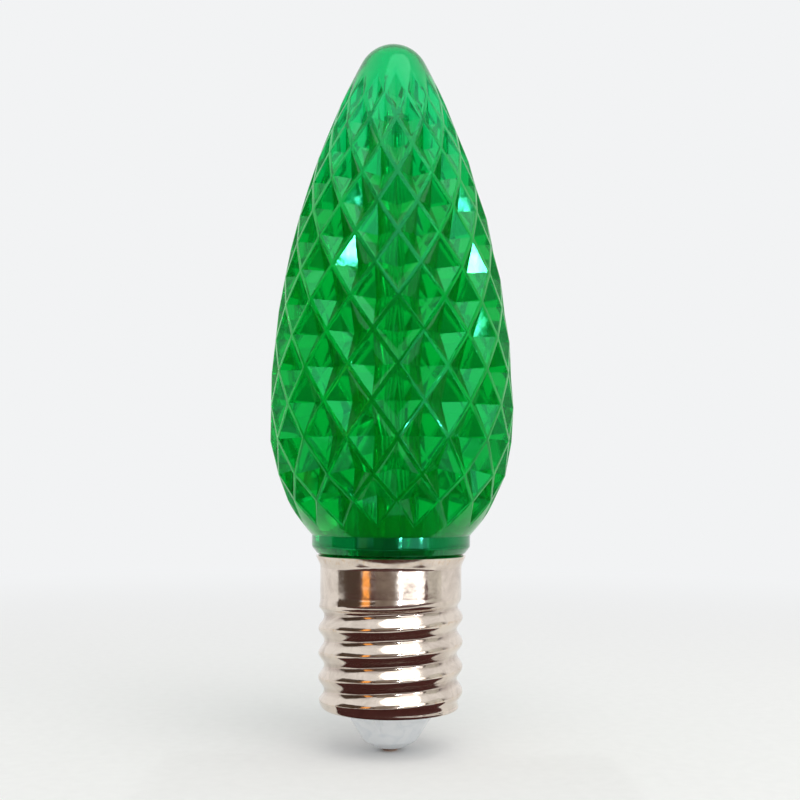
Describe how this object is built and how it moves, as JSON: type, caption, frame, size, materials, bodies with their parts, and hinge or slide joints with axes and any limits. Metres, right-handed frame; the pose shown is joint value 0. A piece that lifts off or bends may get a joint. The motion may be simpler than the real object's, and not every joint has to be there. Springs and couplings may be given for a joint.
{
  "type": "christmas light bulb",
  "caption": "Slender bulb with a diamond-cut, see-through green cover on a threaded metal shell, with a white cone and an end contact.",
  "frame": {"origin": "centre of the end contact's flat face, the lowest point of the bulb", "axes": "+Z along the bulb's axis, from the contact to the tip of the cover; -Y is the front seen in the picture"},
  "size_m": [0.0278, 0.0278, 0.081],
  "materials": {
    "green_polycarbonate": "clear green, polished",
    "nickel_plated_brass": "bright nickel plating",
    "white_plastic": "satin moulded",
    "plated_copper": "satin plated copper",
    "board_fibreglass": "matte laminate",
    "diode_package": "satin moulded",
    "black_epoxy": "matte moulded",
    "resistor_ceramic": "matte with tinned ends",
    "capacitor_sleeve": "satin sleeve",
    "tinned_wire": "tinned"
  },
  "bodies": {
    "root": {"lens": "green_polycarbonate", "screw_shell": "nickel_plated_brass", "base_plug": "white_plastic", "centre_contact": "plated_copper", "led_board": "board_fibreglass", "led_1": "diode_package", "led_2": "diode_package", "led_3": "diode_package", "led_4": "diode_package", "led_5": "diode_package", "led_6": "diode_package", "bridge_rectifier": "black_epoxy", "resistor_1": "resistor_ceramic", "resistor_2": "resistor_ceramic", "smoothing_capacitor": "capacitor_sleeve", "centre_lead": "tinned_wire", "side_lead": "tinned_wire"}
  },
  "joints": []
}
